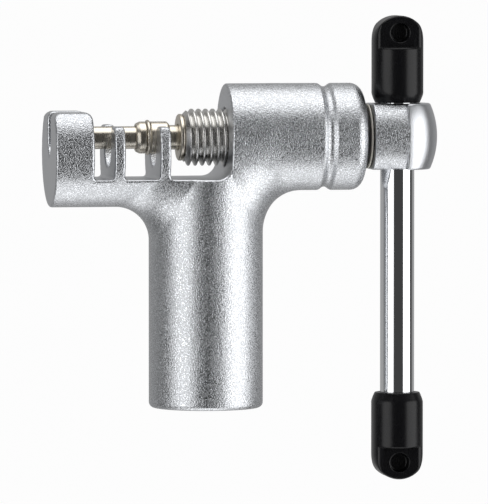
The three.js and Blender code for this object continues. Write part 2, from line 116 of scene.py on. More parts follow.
def length(name, description, default_mm):
    """A length property in metres whose default is given in millimetres."""
    return FloatProperty(name=name, description=description, default=default_mm * MM,
                         unit="LENGTH", precision=5)


def colour(name, description, default):
    return FloatVectorProperty(name=name, description=description, default=default, size=3,
                               subtype="COLOR", min=0, max=1)


class BodySizes(bpy.types.PropertyGroup):
    boss_start: length("Boss face", "Stem axis to the boss's flat face", 3.2)
    arm_drop: length("Arm drop", "Arm axis below the screw axis", 2.7)
    arm_radius: length("Arm radius", "Radius of the arm that carries the cradle", 9.4)
    floor_drop: length("Floor drop", "Cradle floor below the screw axis", 7.1)
    anvil_thickness: length("Anvil", "Thickness of the anvil block", 6.8)
    anvil_rise: length("Anvil top", "Anvil's flat top above the screw axis", 4.6)
    anvil_to_rib: length("First gap", "Anvil to the first rib", 3.5)
    rib_thickness: length("Rib", "Thickness of a cradle rib", 1.9)
    rib_pitch: length("Rib pitch", "From one rib to the next", 8.0)
    rib_rise: length("Rib top", "Rib top above the screw axis", 2.1)
    notch_radius: length("Notch", "Radius of the roller notch in the ribs", 4.2)
    notch_drop: length("Notch drop", "Notch centre below the screw axis", 0.9)
    slot_width: length("Rivet slot", "Width of the slot in the anvil", 3.7)
    slot_drop: length("Slot bottom", "Slot bottom below the screw axis", 3.3)
    left_fillet: length("Arm fillet", "Blend between the arm and the stem", 6.0)
    right_fillet: length("Boss fillet", "Blend between the boss and the stem", 6.8)
    end_round: length("Boss end", "Rounding of the boss's outer end", 2.1)
    groove_from_end: length("Groove", "Middle of the boss's groove to its outer end", 6.7)
    arm_rise: length("Arm rise", "Length over which the arm climbs into the boss", 9.0)
    bore_radius: length("Bore", "Radius of the bore for the drive screw", 5.2)
    cell: length("Cell", "Fineness of the cast surface", 0.28)


class SpindleSizes(bpy.types.PropertyGroup):
    thread_radius: length("Thread radius", "Outer radius of the drive screw", 5.0)
    thread_depth: length("Thread depth", "Depth of the thread", 0.77)
    thread_pitch: length("Thread pitch", "Advance of the thread in one turn", 1.25)
    neck_radius: length("Neck", "Radius of the plain neck behind the head", 4.0)
    head_length: length("Head", "Length of the head's straight part, up to its crease", 5.9)
    head_radius: length("Head radius", "Radius of the head's straight part", 6.9)
    barrel_radius: length("Barrel", "Radius of the round end about the bar", 7.0)
    barrel_bulge: length("Bulge", "Radius of the round end's upright curve", 13.9)
    bar_clearance: length("Bar clearance", "Gap round the bar in the head", 0.2)
    cell: length("Cell", "Fineness of the head's surface", 0.16)


class CarrierSizes(bpy.types.PropertyGroup):
    pin_chamfer: length("Pin chamfer", "Bevel on the drive pin's tip", 0.3)
    cone_length: length("Cone", "Length of the holder's tapered nose", 0.7)
    mouth_radius: length("Mouth", "Radius of the holder's nose at the pin", 2.45)
    shoulder: length("Shoulder", "Length of the holder's thick part", 5.9)
    neck_radius: length("Neck", "Radius of the holder's neck", 2.15)
    flange: length("Flange", "Thickness of the retainer's flange", 0.7)


class CapSizes(bpy.types.PropertyGroup):
    neck_radius: length("Foot radius", "Radius of the cap where the bar enters", 3.95)
    neck_length: length("Foot length", "Length of the cap's tapered foot", 1.6)
    foot_drop: length("Foot drop", "How much of the foot's seat gap the soft moulding fills", 0.2)
    flat_length: length("Flat length", "Length of the flats at the cap's tip", 5.6)
    flat_offset: length("Flat offset", "Bar axis to each flat", 2.8)
    hole_radius: length("Hole", "Radius of the blind hole in each flat", 1.68)
    hole_from_tip: length("Hole place", "Hole centre to the cap's tip", 3.0)
    hole_depth: length("Hole depth", "Depth of the blind hole", 1.9)
    bore_depth: length("Bore depth", "How deep the bar sits in the cap", 9.2)
    cell: length("Cell", "Fineness of the moulded surface", 0.16)


class FinishColours(bpy.types.PropertyGroup):
    cast: colour("Cast chrome", "Pearl chrome of the body and head", (0.645, 0.66, 0.685))
    steel: colour("Thread steel", "Bright steel of the drive screw", (0.68, 0.67, 0.65))
    warm: colour("Warm steel", "Tinted steel of the pin and its holder", (0.72, 0.665, 0.57))
    chrome: colour("Polished chrome", "Sliding bar", (0.80, 0.81, 0.825))
    rubber: colour("Rubber", "O-ring", (0.012, 0.012, 0.013))
    washer: colour("Washer", "Thrust washer", (0.72, 0.69, 0.61))
    plastic: colour("Plastic", "Grip caps", (0.005, 0.005, 0.006))


class StudioSettings(bpy.types.PropertyGroup):
    view_height: length("View height", "Height that the camera takes in at the object", 88.4)
    distance: length("Camera distance", "Camera to the middle of the view", 1200)
    azimuth: FloatProperty(name="Azimuth", description="Camera's turn about Z",
                           default=math.radians(-9.6), subtype="ANGLE")
    elevation: FloatProperty(name="Elevation", description="Camera's height angle",
                             default=math.radians(3), subtype="ANGLE")
    room_light: FloatProperty(name="Room light", description="Strength of the room", default=1.0)


GROUPS = {
    "body_sizes": BodySizes,
    "spindle_sizes": SpindleSizes,
    "carrier_sizes": CarrierSizes,
    "cap_sizes": CapSizes,
    "finish_colours": FinishColours,
    "studio": StudioSettings,
}


def settings(group):
    return getattr(bpy.context.scene, "chain_tool_" + group)


def in_mm(group):
    """The lengths of a settings group, in millimetres, as attributes."""
    props = settings(group)
    values = {key: getattr(props, key) / MM for key in props.bl_rna.properties.keys()
              if key not in ("rna_type", "name")}
    return type("Sizes", (), values)


# ---- shader expressions ----

class Shader:
    """A material's node tree, with one method that makes any node."""

    def __init__(self, name):
        self.material = bpy.data.materials.new(name)
        self.material.use_nodes = True
        self.tree = self.material.node_tree
        self.tree.nodes.clear()

    def node(self, kind, settings=None, **inputs):
        node = self.tree.nodes.new(kind)
        for key, value in (settings or {}).items():
            setattr(node, key, value)
        for key, value in inputs.items():
            socket = node.inputs[int(key[1:])] if key[0] == "i" and key[1:].isdigit() else (
                node.inputs[key.replace("_", " ")])
            self.feed(socket, value)
        return node

    def feed(self, socket, value):
        if isinstance(value, Value):
            value = value.socket
        if isinstance(value, bpy.types.NodeSocket):
            self.tree.links.new(value, socket)
        else:
            socket.default_value = value

    def value(self, kind, settings=None, output=0, **inputs):
        return Value(self, self.node(kind, settings, **inputs).outputs[output])

    def place(self):
        return self.value("ShaderNodeTexCoord", output="Object")

    def noise(self, scale, detail=2.0, where=None, roughness=0.5):
        return self.value("ShaderNodeTexNoise", Vector=where or self.place(), Scale=scale,
                          Detail=detail, Roughness=roughness)

    def stretched(self, x, y, z):
        return self.value("ShaderNodeMapping", Vector=self.place(), Scale=(x, y, z))

    def tint(self, base, strength):
        """A colour times a changing number."""
        return self.value("ShaderNodeVectorMath", {"operation": "SCALE"}, i0=base, Scale=strength)

    def bump(self, height, strength, distance):
        return self.value("ShaderNodeBump", Height=height, Strength=strength, Distance=distance)

    def finish(self, **inputs):
        shader = self.node("ShaderNodeBsdfPrincipled", **inputs)
        self.node("ShaderNodeOutputMaterial", Surface=shader.outputs[0])
        return self.material


class Value:
    """A socket that Python's operators work on."""

    def __init__(self, shader, socket):
        self.shader = shader
        self.socket = socket

    def math(self, operation, *others):
        inputs = {f"i{i}": other for i, other in enumerate((self, *others))}
        return self.shader.value("ShaderNodeMath", {"operation": operation}, **inputs)

    def flipped(self, operation, other):
        return self.shader.value("ShaderNodeMath", {"operation": operation}, i0=other, i1=self)

    def __add__(self, other):
        return self.math("ADD", other)

    def __radd__(self, other):
        return self.flipped("ADD", other)

    def __sub__(self, other):
        return self.math("SUBTRACT", other)

    def __rsub__(self, other):
        return self.flipped("SUBTRACT", other)

    def __mul__(self, other):
        return self.math("MULTIPLY", other)

    def __rmul__(self, other):
        return self.flipped("MULTIPLY", other)

    def step(self, low, high):
        """0 below low, 1 above high, smooth between."""
        return self.shader.value("ShaderNodeMapRange", {"interpolation_type": "SMOOTHSTEP"},
                                 Value=self, From_Min=low, From_Max=high)


# ---- materials ----

def cast_chrome():
    """Pearl chrome over a blasted casting. Cut faces, marked by an attribute, are smoother."""
    s = Shader("cast_chrome")
    base = tuple(settings("finish_colours").cast)
    cut = s.value("ShaderNodeAttribute", {"attribute_name": "cut"}, output="Fac")
    grain = s.noise(6000, 2.0)
    speckle = s.noise(4600, 1.0).step(0.38, 0.62)
    cloud = s.noise(160, 3.0)
    cast_side = 1 - cut
    shade = 0.72 + 0.38 * speckle * cast_side + 0.22 * cut + 0.06 * (cloud - 0.5)
    rough = 0.25 + 0.16 * (grain - 0.5) * cast_side + 0.05 * cloud + 0.04 * cut
    height = (grain * 0.55 + speckle * 0.45) * (0.12 + 0.88 * cast_side)
    return s.finish(Base_Color=s.tint(base, shade), Metallic=1.0, Roughness=rough,
                    Normal=s.bump(height, 0.50, 0.00012))


def thread_steel():
    """Bright rolled thread with painted shade darkening its roots, unevenly in patches."""
    s = Shader("thread_steel")
    base = tuple(settings("finish_colours").steel)
    root = s.value("ShaderNodeAttribute", {"attribute_name": "root"}, output="Fac")
    brushed = s.noise(900, 3.0, s.stretched(0.3, 1, 1))
    uneven_root_shade = s.noise(420, 2.0).step(0.42, 0.7)
    # painted shade: the root mask darkens the thread's roots, more in random patches
    shade = 1.04 - 0.80 * root * (0.7 + 0.3 * uneven_root_shade) - 0.08 * brushed
    rough = 0.20 + 0.12 * brushed + 0.25 * root
    return s.finish(Base_Color=s.tint(base, shade), Metallic=1.0, Roughness=rough,
                    Normal=s.bump(brushed, 0.10, 0.00005))


def warm_steel():
    """Turned steel with fine tool rings round the screw axis and a warm tint."""
    s = Shader("warm_steel")
    base = tuple(settings("finish_colours").warm)
    rings = s.noise(5200, 2.0, s.stretched(1, 0.02, 0.02))
    stain = s.noise(500, 3.0)
    shade = 0.90 + 0.12 * rings + 0.14 * (stain - 0.5)
    rough = 0.20 + 0.10 * rings + 0.06 * stain
    return s.finish(Base_Color=s.tint(base, shade), Metallic=1.0, Roughness=rough,
                    Normal=s.bump(rings, 0.12, 0.00005))


def polished_chrome():
    """Mirror chrome with faint drawn lines and hair scratches along the bar."""
    s = Shader("polished_chrome")
    base = tuple(settings("finish_colours").chrome)
    drawn = s.noise(2600, 2.0, s.stretched(1, 1, 0.02))
    hair = s.noise(900, 4.0, s.stretched(1, 0.4, 0.08)).step(0.60, 0.66)
    shade = 0.97 + 0.03 * drawn - 0.03 * hair
    rough = 0.055 + 0.04 * drawn + 0.05 * hair
    return s.finish(Base_Color=s.tint(base, shade), Metallic=1.0, Roughness=rough,
                    Normal=s.bump(drawn, 0.03, 0.00002))


def gloss_plastic():
    """Moulded black plastic: a soft skin texture, fine scuffs and a clear gloss."""
    s = Shader("black_plastic")
    base = tuple(settings("finish_colours").plastic)
    skin = s.noise(1500, 3.0)
    scuff = s.noise(700, 5.0, s.stretched(1, 1, 0.15)).step(0.58, 0.72)
    shade = 0.8 + 0.4 * skin + 0.5 * scuff
    rough = 0.26 + 0.07 * (skin - 0.5) + 0.08 * scuff
    return s.finish(Base_Color=s.tint(base, shade), Metallic=0.0, Roughness=rough,
                    Specular_IOR_Level=0.25, Normal=s.bump(skin, 0.10, 0.00008))


def rubber():
    s = Shader("dark_rubber")
    base = tuple(settings("finish_colours").rubber)
    dust = s.noise(1800, 4.0)
    return s.finish(Base_Color=s.tint(base, 0.7 + 0.9 * dust), Roughness=0.45 + 0.2 * dust,
                    Normal=s.bump(dust, 0.2, 0.00005))


def washer_plastic():
    s = Shader("pale_washer")
    base = tuple(settings("finish_colours").washer)
    mottle = s.noise(1200, 3.0)
    return s.finish(Base_Color=s.tint(base, 0.9 + 0.2 * mottle), Roughness=0.35 + 0.15 * mottle,
                    Normal=s.bump(mottle, 0.15, 0.00005))


MATERIAL_MAKERS = {
    "cast_chrome": cast_chrome,
    "spindle_steel": thread_steel,
    "warm_steel": warm_steel,
    "polished_chrome": polished_chrome,
    "black_plastic": gloss_plastic,
    "dark_rubber": rubber,
    "pale_washer": washer_plastic,
}
made_materials = {}


def material(slot):
    if slot not in made_materials:
        made_materials[slot] = MATERIAL_MAKERS[slot]()
    return made_materials[slot]


# ---- meshes ----

def finish_piece(name, mesh, body, slot, nodes=()):
    """Links a finished mesh, in metres and in the frame, and hands it to the frame."""
    piece = bpy.data.objects.new(name, mesh)
    bpy.context.scene.collection.objects.link(piece)
    if not mesh.materials:
        mesh.materials.append(material(slot))
    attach(piece, body)
    if nodes:
        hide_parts(*nodes)
    return piece


def mesh_of(name, points_mm, faces):
    mesh = bpy.data.meshes.new(name)
    mesh.from_pydata((np.asarray(points_mm) * MM).tolist(), [], faces)
    mesh.validate()
    mesh.polygons.foreach_set("use_smooth", [True] * len(mesh.polygons))
    mesh.update()
    return mesh


def add_attribute(mesh, name, values):
    attribute = mesh.attributes.new(name, "FLOAT", "POINT")
    attribute.data.foreach_set("value", np.asarray(values, np.float32))


def spun(name, profile, axis="x", centre=(0, 0, 0), sides=96):
    """A closed profile of [along, radius, round] corners turned about an axis."""
    outline = rounded_profile(profile)
    angles = np.linspace(0, 2 * math.pi, sides, endpoint=False)
    along = np.repeat(outline[:, 0][None, :], sides, 0)
    u = outline[:, 1][None, :] * np.cos(angles)[:, None]
    v = outline[:, 1][None, :] * np.sin(angles)[:, None]
    stack = (along, u, v) if axis == "x" else (u, v, along)
    points = np.stack(stack, -1).reshape(-1, 3) + np.array(centre)
    count = len(outline)
    faces = []
    for i in range(sides):
        here, there = i * count, (i + 1) % sides * count
        for j in range(count):
            k = (j + 1) % count
            faces.append((here + j, here + k, there + k, there + j))
    return tidy_mesh(name, points, faces)


def tidy_mesh(name, points, faces):
    """A clean closed mesh that is smooth except at its sharp edges."""
    mesh = outward(mesh_of(name, points, faces), drop_slivers=True)
    mesh.polygons.foreach_set("use_smooth", [True] * len(mesh.polygons))
    mesh.set_sharp_from_angle(angle=SHARP_ANGLE)
    return mesh


def outward(mesh, drop_slivers=False):
    """Merges doubles of a closed mesh and turns its faces outwards."""
    work = bmesh.new()
    work.from_mesh(mesh)
    bmesh.ops.remove_doubles(work, verts=work.verts, dist=MERGE_DISTANCE)
    if drop_slivers:
        bmesh.ops.dissolve_degenerate(work, edges=work.edges, dist=SLIVER)
    bmesh.ops.recalc_face_normals(work, faces=work.faces)
    work.to_mesh(mesh)
    work.free()
    return mesh


def rounded_profile(corners, steps=5):
    """Corners given as [along, radius, round], rounded off with short arcs."""
    points = []
    count = len(corners)
    for i, corner in enumerate(corners):
        here = np.array(corner[:2], float)
        size = corner[2] if len(corner) > 2 else 0
        if size == 0:
            points.append(here)
            continue
        before = np.array(corners[i - 1][:2], float) - here
        after = np.array(corners[(i + 1) % count][:2], float) - here
        enter = here + before / np.linalg.norm(before) * size
        leave = here + after / np.linalg.norm(after) * size
        for t in np.linspace(0, 1, steps + 1):
            points.append((1 - t) ** 2 * enter + 2 * t * (1 - t) * here + t ** 2 * leave)
    return np.array(points)


# ---- skins: the surface where a distance field is zero ----

def union_round(a, b, radius):
    corner = np.hypot(np.maximum(radius - a, 0), np.maximum(radius - b, 0))
    return np.maximum(radius, np.minimum(a, b)) - corner


def cut_round(a, b, radius):
    """The overlap of two shapes, with its edge rounded."""
    corner = np.hypot(np.maximum(radius + a, 0), np.maximum(radius + b, 0))
    return np.minimum(-radius, np.maximum(a, b)) + corner


def union_soft(a, b, radius):
    h = np.maximum(radius - np.abs(a - b), 0) / radius
    return np.minimum(a, b) - h * h * radius / 4


def skin(field, low, high, cell):
    """Points and quads of the surface field(x, y, z) = 0, one point for each crossed cell."""
    low = np.array(low, float) - 1.5 * cell
    counts = np.ceil((np.array(high, float) + 1.5 * cell - low) / cell).astype(int) + 1
    axes = [low[i] + cell * np.arange(counts[i]) for i in range(3)]
    values = field(*np.meshgrid(*axes, indexing="ij"))
    inside = values < 0
    corners = [(i, j, k) for i in (0, 1) for j in (0, 1) for k in (0, 1)]
    nx, ny, nz = counts - 1
    total = sum(inside[i:nx + i, j:ny + j, k:nz + k].astype(np.int8) for i, j, k in corners)
    active = (total > 0) & (total < 8)
    cells = np.argwhere(active)
    index = np.full(active.shape, -1, np.int64)
    index[active] = np.arange(len(cells))
    corner_values = {c: values[tuple((cells + c).T)] for c in corners}
    sums, hits = np.zeros((len(cells), 3)), np.zeros(len(cells))
    for a in corners:
        for axis in range(3):
            if a[axis]:
                continue
            b = tuple(1 if i == axis else a[i] for i in range(3))
            va, vb = corner_values[a], corner_values[b]
            crossed = (va < 0) != (vb < 0)
            t = np.where(crossed, va / np.where(va == vb, 1, va - vb), 0)
            place = np.array(a, float)[None, :].repeat(len(cells), 0)
            place[:, axis] = t
            sums[crossed] += place[crossed]
            hits[crossed] += 1
    points = low + cell * (cells + sums / hits[:, None])
    return settle(field, points, cell), skin_quads(inside, index)


def skin_quads(inside, index):
    """One quad for each grid edge that crosses the surface."""
    quads = []
    for axis in range(3):
        u, v = [i for i in range(3) if i != axis]
        first = np.take(inside, range(inside.shape[axis] - 1), axis)
        second = np.take(inside, range(1, inside.shape[axis]), axis)
        edges = np.argwhere(first != second)
        outward = first[tuple(edges.T)]
        step_u, step_v = np.eye(3, dtype=int)[u], np.eye(3, dtype=int)[v]
        ring = [edges - step_u - step_v, edges - step_v, edges, edges - step_u]
        loop = np.stack([index[tuple(r.T)] for r in ring], 1)
        flip = outward if axis != 1 else ~outward
        loop[~flip] = loop[~flip][:, ::-1]
        quads.append(loop)
    return np.concatenate(quads)


def gradient(field, points, step):
    slopes = []
    for offset in np.eye(3) * step:
        slopes.append(field(*(points + offset).T) - field(*(points - offset).T))
    return np.stack(slopes, 1) / (2 * step)


def settle(field, points, cell):
    """Moves points onto the surface along the field's slope."""
    for _ in range(3):
        slope = gradient(field, points, cell / 50)
        size = np.maximum((slope ** 2).sum(1), 0.05)
        move = slope * (field(*points.T) / size)[:, None]
        reach = np.linalg.norm(move, axis=1)
        move *= (np.minimum(reach, cell / 3) / np.maximum(reach, 1e-9))[:, None]
        points = points - move
    return points


def skin_mesh(name, field, low, high, cell):
    points, quads = skin(field, low, high, cell)
    mesh = mesh_of(name, points, quads.tolist())
    slope = gradient(field, points, cell / 6)
    normals = slope / np.maximum(np.linalg.norm(slope, axis=1), 1e-9)[:, None]
    mesh.normals_split_custom_set_from_vertices(normals.tolist())
    return mesh, points


# ---- body ----

class BodyForm:
    """The casting as a distance field, in millimetres."""

    STEM_EDGE = 1.0          # rounding of the stem's end
    CROWN_TAPER = 0.8        # how much the stem narrows into the beam
    CROWN_DROP = 1.4         # screw axis to the top of the stem
    GAP_ROOT = 0.6           # root rounding of the cradle's gaps
    BOSS_ROOT = 2.6          # root rounding at the boss's face
    RIB_EDGE = 0.55
    ANVIL_EDGE = 1.3
    BEYOND = 1.5             # how far the wide cuts run on
    CUT_PAST = 0.8           # how far the notch and the slot run past what they cut
    SLOT_EDGE = 0.4
    BOSS_EDGE = 0.6
    GROOVE = {"rise": 0.45, "radius": 1.05}
    BLEND = 1.4              # arm into boss
    NO_BLEND = 0.02
    LAST_ROOT = 0.03         # share of the stem blend that is left at the sides
    CAST_EDGE = 0.45
    HOLE_EDGE = 0.35

    def __init__(self):
        self.s = in_mm("body_sizes")
        self.arm_z = SCREW_HEIGHT - self.s.arm_drop
        self.floor = SCREW_HEIGHT - self.s.floor_drop
        self.anvil_inner = BODY_LOW.x + self.s.anvil_thickness
        self.first_rib = self.anvil_inner + self.s.anvil_to_rib
        self.stem_top = SCREW_HEIGHT - self.CROWN_DROP

    def stem(self, x, y, z):
        taper = self.CROWN_TAPER * np.clip((z - self.floor + 3) / 6, 0, 1) ** 2
        side = np.hypot(x, y) - STEM_RADIUS + taper
        return np.maximum(cut_round(side, -z, self.STEM_EDGE), z - self.stem_top)

    def blend_size(self, x, y):
        """Radius of the blend into the stem: full in the middle plane, small at the sides."""
        s = self.s
        right = np.clip(0.5 + x / STEM_RADIUS, 0, 1)
        full = s.left_fillet + (s.right_fillet - s.left_fillet) * right
        return full * np.sqrt(np.maximum(1 - (y / s.arm_radius) ** 2, self.LAST_ROOT))

    def spaces(self, x, z):
        """Everything cut away above the cradle: the gaps between anvil, ribs and boss."""
        s = self.s
        edges = [self.anvil_inner]
        for rib in (self.first_rib, self.first_rib + s.rib_pitch):
            edges += [rib, rib + s.rib_thickness]
        edges.append(s.boss_start)
        gap = None
        for left, right in zip(edges[::2], edges[1::2]):
            end_root = self.BOSS_ROOT if right == s.boss_start else self.GAP_ROOT
            opening = np.maximum(cut_round(left - x, self.floor - z, self.GAP_ROOT),
                                 cut_round(x - right, self.floor - z, end_root))
            gap = opening if gap is None else np.minimum(gap, opening)
        over_ribs = np.maximum.reduce([self.anvil_inner + self.BEYOND - x,
                                       x - s.boss_start + self.BEYOND,
                                       SCREW_HEIGHT + s.rib_rise - z])
        gap = union_round(gap, over_ribs, self.RIB_EDGE)
        over_anvil = np.maximum(SCREW_HEIGHT + s.anvil_rise - z, x - s.boss_start + self.BEYOND)
        return union_round(gap, over_anvil, self.ANVIL_EDGE)

    def notch(self, x, y, z):
        s = self.s
        centre = SCREW_HEIGHT - s.notch_drop
        round_part = np.hypot(y, np.minimum(z - centre, 0)) - s.notch_radius
        last = self.first_rib + s.rib_pitch + s.rib_thickness
        return np.maximum.reduce([round_part, self.first_rib - self.CUT_PAST - x,
                                  x - last - self.CUT_PAST])

    def slot(self, x, y, z):
        s = self.s
        bottom = SCREW_HEIGHT - s.slot_drop
        side = np.abs(y) - s.slot_width / 2
        point = (np.abs(y) - (z - bottom)) * math.sqrt(0.5)
        return np.maximum(cut_round(side, point, self.SLOT_EDGE), x - self.anvil_inner - self.CUT_PAST)

    def cut_faces(self, x, y, z):
        """Field of the milled shape, whose zero is every cut face of the cradle and anvil."""
        return cut_round(-self.spaces(x, z), BODY_LOW.x - x, self.ANVIL_EDGE)

    def boss(self, x, y, z):
        s = self.s
        radial = np.hypot(y, z - SCREW_HEIGHT)
        side = radial - BOSS_RADIUS
        shape = cut_round(side, x - BODY_HIGH.x, s.end_round)
        shape = cut_round(shape, s.boss_start - x, self.BOSS_EDGE)
        from_groove = x - (BODY_HIGH.x - s.groove_from_end)
        rise, radius = self.GROOVE["rise"], self.GROOVE["radius"]
        groove = np.hypot(from_groove, radial - BOSS_RADIUS - rise) - radius
        return cut_round(shape, -groove, self.HOLE_EDGE)

    def __call__(self, x, y, z):
        s = self.s
        climb = np.clip((x - s.boss_start) / s.arm_rise, 0, 1)
        arm_z = self.arm_z + s.arm_drop * climb ** 2 * (3 - 2 * climb)
        arm = np.maximum(np.hypot(y, z - arm_z) - s.arm_radius, x - s.boss_start - s.arm_rise - 1)
        beam = union_soft(arm, self.boss(x, y, z), self.BLEND * (1 - climb) + self.NO_BLEND)
        whole = union_round(beam, self.stem(x, y, z), self.blend_size(x, y))
        whole = cut_round(whole, self.cut_faces(x, y, z), self.CAST_EDGE)
        whole = np.maximum(whole, np.abs(y) - STEM_RADIUS)
        bore = np.hypot(y, z - SCREW_HEIGHT) - s.bore_radius
        whole = cut_round(whole, -np.maximum(bore, s.boss_start - 2 - x), self.HOLE_EDGE)
        whole = cut_round(whole, -self.notch(x, y, z), self.HOLE_EDGE)
        return cut_round(whole, -self.slot(x, y, z), self.HOLE_EDGE)


def make_body():
    form = BodyForm()
    mesh, points = skin_mesh("cast_body", form, BODY_LOW, BODY_HIGH, form.s.cell)
    x, y, z = points.T
    on_face = np.abs(x - form.s.boss_start) + (z < form.floor)
    on_cut = np.minimum(np.abs(form.cut_faces(x, y, z)), on_face)
    cut = 1 - np.clip((on_cut - 0.04) / 0.16, 0, 1)
    add_attribute(mesh, "cut", cut * (x < form.s.boss_start + 0.3))
    finish_piece("cast_body", mesh, "frame", "cast_chrome", ["body"])


# ---- spindle ----

class NodeTree:
    """A geometry node tree with named inputs, built from short expressions."""

    def __init__(self, name, inputs):
        self.tree = bpy.data.node_groups.new(name, "GeometryNodeTree")
        face = self.tree.interface
        face.new_socket("Geometry", in_out="OUTPUT", socket_type="NodeSocketGeometry")
        self.ids = {}
        for label, (kind, default) in inputs.items():
            socket = face.new_socket(label, in_out="INPUT", socket_type=kind)
            if default is not None:
                socket.default_value = default
            self.ids[label] = socket.identifier
        self.entry = self.tree.nodes.new("NodeGroupInput")
        self.exit = self.tree.nodes.new("NodeGroupOutput")

    def given(self, label):
        return Value(self, self.entry.outputs[label])

    node = Shader.node
    feed = Shader.feed
    value = Shader.value

    def close(self, geometry, surface):
        real = self.node("GeometryNodeRealizeInstances", Geometry=geometry)
        dressed = self.node("GeometryNodeSetMaterial", Geometry=real.outputs[0], Material=surface)
        self.feed(self.exit.inputs[0], dressed.outputs[0])

    def build(self, name, **inputs):
        """The tree's result as a plain mesh."""
        holder = bpy.data.objects.new(name, bpy.data.meshes.new(name))
        bpy.context.scene.collection.objects.link(holder)
        modifier = holder.modifiers.new(name, "NODES")
        modifier.node_group = self.tree
        for label, value in inputs.items():
            modifier[self.ids[label.replace("_", " ")]] = value
        evaluated = holder.evaluated_get(bpy.context.evaluated_depsgraph_get())
        mesh = bpy.data.meshes.new_from_object(evaluated)
        bpy.data.objects.remove(holder)
        return mesh


def thread_tree():
    """A grid rolled round X whose radius follows a helical ridge, closed at both ends."""
    number = "NodeSocketFloat"
    t = NodeTree("rolled_thread", {
        "Length": (number, 0.03), "Radius": (number, 0.005), "Depth": (number, 0.0008),
        "Pitch": (number, 0.00125), "Start": (number, 0.0), "Height": (number, 0.0),
        "Rows": ("NodeSocketInt", 300), "Sides": ("NodeSocketInt", 72),
    })
    size, radius, depth = t.given("Length"), t.given("Radius"), t.given("Depth")
    grid = t.node("GeometryNodeMeshGrid", Size_X=1.0, Size_Y=1.0,
                  Vertices_X=t.given("Rows"), Vertices_Y=t.given("Sides"))
    place = t.node("ShaderNodeSeparateXYZ", Vector=t.value("GeometryNodeInputPosition"))
    along_share = Value(t, place.outputs[0]) + 0.5
    turn = Value(t, place.outputs[1]) + 0.5
    rows = t.given("Rows")
    spread = (along_share * (rows - 1) - 1) * (size.math("DIVIDE", rows - 3))
    along = spread.math("MAXIMUM", 0.0).math("MINIMUM", size)
    phase = (along.math("DIVIDE", t.given("Pitch")) - turn).math("FRACT")
    crest = (phase * 2 - 1).math("ABSOLUTE")
    ridge = t.value("ShaderNodeMapRange", {"interpolation_type": "SMOOTHSTEP"},
                    Value=crest, From_Min=0.08, From_Max=0.86)
    profile = radius - depth * (1 - ridge)
    from_end = along.math("MINIMUM", size - along)
    bevel = radius - depth * 1.15 + from_end
    capped = spread.math("LESS_THAN", -1e-7) + spread.math("GREATER_THAN", size + 1e-7)
    reach = profile.math("MINIMUM", bevel) * (1 - capped)
    angle = turn * (2 * math.pi)
    target = t.value("ShaderNodeCombineXYZ", X=along + t.given("Start"),
                     Y=reach * angle.math("COSINE"), Z=reach * angle.math("SINE") + t.given("Height"))
    rolled = t.node("GeometryNodeSetPosition", Geometry=grid.outputs[0], Position=target)
    # the root mask, 1 in the thread's roots, also drives the painted shade there in the thread material
    stored = t.node("GeometryNodeStoreNamedAttribute", {"data_type": "FLOAT", "domain": "POINT"},
                    Geometry=rolled.outputs[0], Name="root", Value=1 - ridge)
    merged = t.node("GeometryNodeMergeByDistance", Geometry=stored.outputs[0], Distance=1e-6)
    smooth = t.node("GeometryNodeSetShadeSmooth", Geometry=merged.outputs[0])
    t.close(smooth.outputs[0], material("spindle_steel"))
    return t


def make_thread():
    s = in_mm("spindle_sizes")
    start, end = SPINDLE_LOW.x, BODY_HIGH.x - 0.6
    mesh = thread_tree().build("drive_thread", Length=(end - start) * MM, Radius=s.thread_radius * MM,
                               Depth=s.thread_depth * MM, Pitch=s.thread_pitch * MM,
                               Start=start * MM, Height=SCREW_HEIGHT * MM, Rows=380, Sides=97)
    finish_piece("drive_thread", outward(mesh), "spindle", "spindle_steel", ["spindle"])


class HeadForm:
    """The spindle's head and neck: a level cylinder, a barrel about the bar's axis beyond
    the crease, a flat above and below, and the bar's hole."""

    REAR_EDGE = 0.35
    CREASE_OVERLAP = 0.3     # how far the cylinder runs into the barrel
    CREASE_EDGE = 0.12
    FLAT_EDGE = 0.3
    HOLE_EDGE = 0.2
    NECK_UNDER = 1.2         # how far the neck starts inside the boss

    def __init__(self):
        self.s = in_mm("spindle_sizes")
        self.start = WASHER_HIGH.x + SEAT_GAP
        self.crease = self.start + self.s.head_length

    def __call__(self, x, y, z):
        s = self.s
        height = z - SCREW_HEIGHT
        radial = np.hypot(y, height)
        straight = cut_round(radial - s.head_radius, self.start - x, self.REAR_EDGE)
        straight = np.maximum(straight, x - self.crease - self.CREASE_OVERLAP)
        bulge = np.sqrt(np.maximum(s.barrel_bulge ** 2 - height ** 2, 0))
        round_end = np.hypot(x - BAR_X, y) - (s.barrel_radius - s.barrel_bulge + bulge)
        round_end = cut_round(round_end, self.crease - x, self.CREASE_EDGE)
        head = np.minimum(straight, round_end)
        head = cut_round(head, np.abs(height) - HEAD_HALF_HEIGHT, self.FLAT_EDGE)
        neck = np.maximum.reduce([radial - s.neck_radius, x - self.start - 1,
                                  BODY_HIGH.x - self.NECK_UNDER - x])
        hole = np.hypot(x - BAR_X, y) - (BAR_HIGH.y + s.bar_clearance)
        return cut_round(np.minimum(head, neck), -hole, self.HOLE_EDGE)


def make_head():
    form = HeadForm()
    low = (BODY_HIGH.x - form.NECK_UNDER, SPINDLE_LOW.y, SPINDLE_LOW.z)
    mesh, points = skin_mesh("spindle_head", form, low, SPINDLE_HIGH, form.s.cell)
    x, y, z = points.T
    near_bar = np.hypot(x - BAR_X, y) < BAR_HIGH.y + 0.35
    smooth = np.clip((x - form.crease + 0.1) / 0.2, 0, 1)
    add_attribute(mesh, "cut", np.maximum(0.9 * smooth, near_bar | (x < form.start + 0.1)))
    finish_piece("spindle_head", mesh, "spindle", "cast_chrome", ["spindle"])


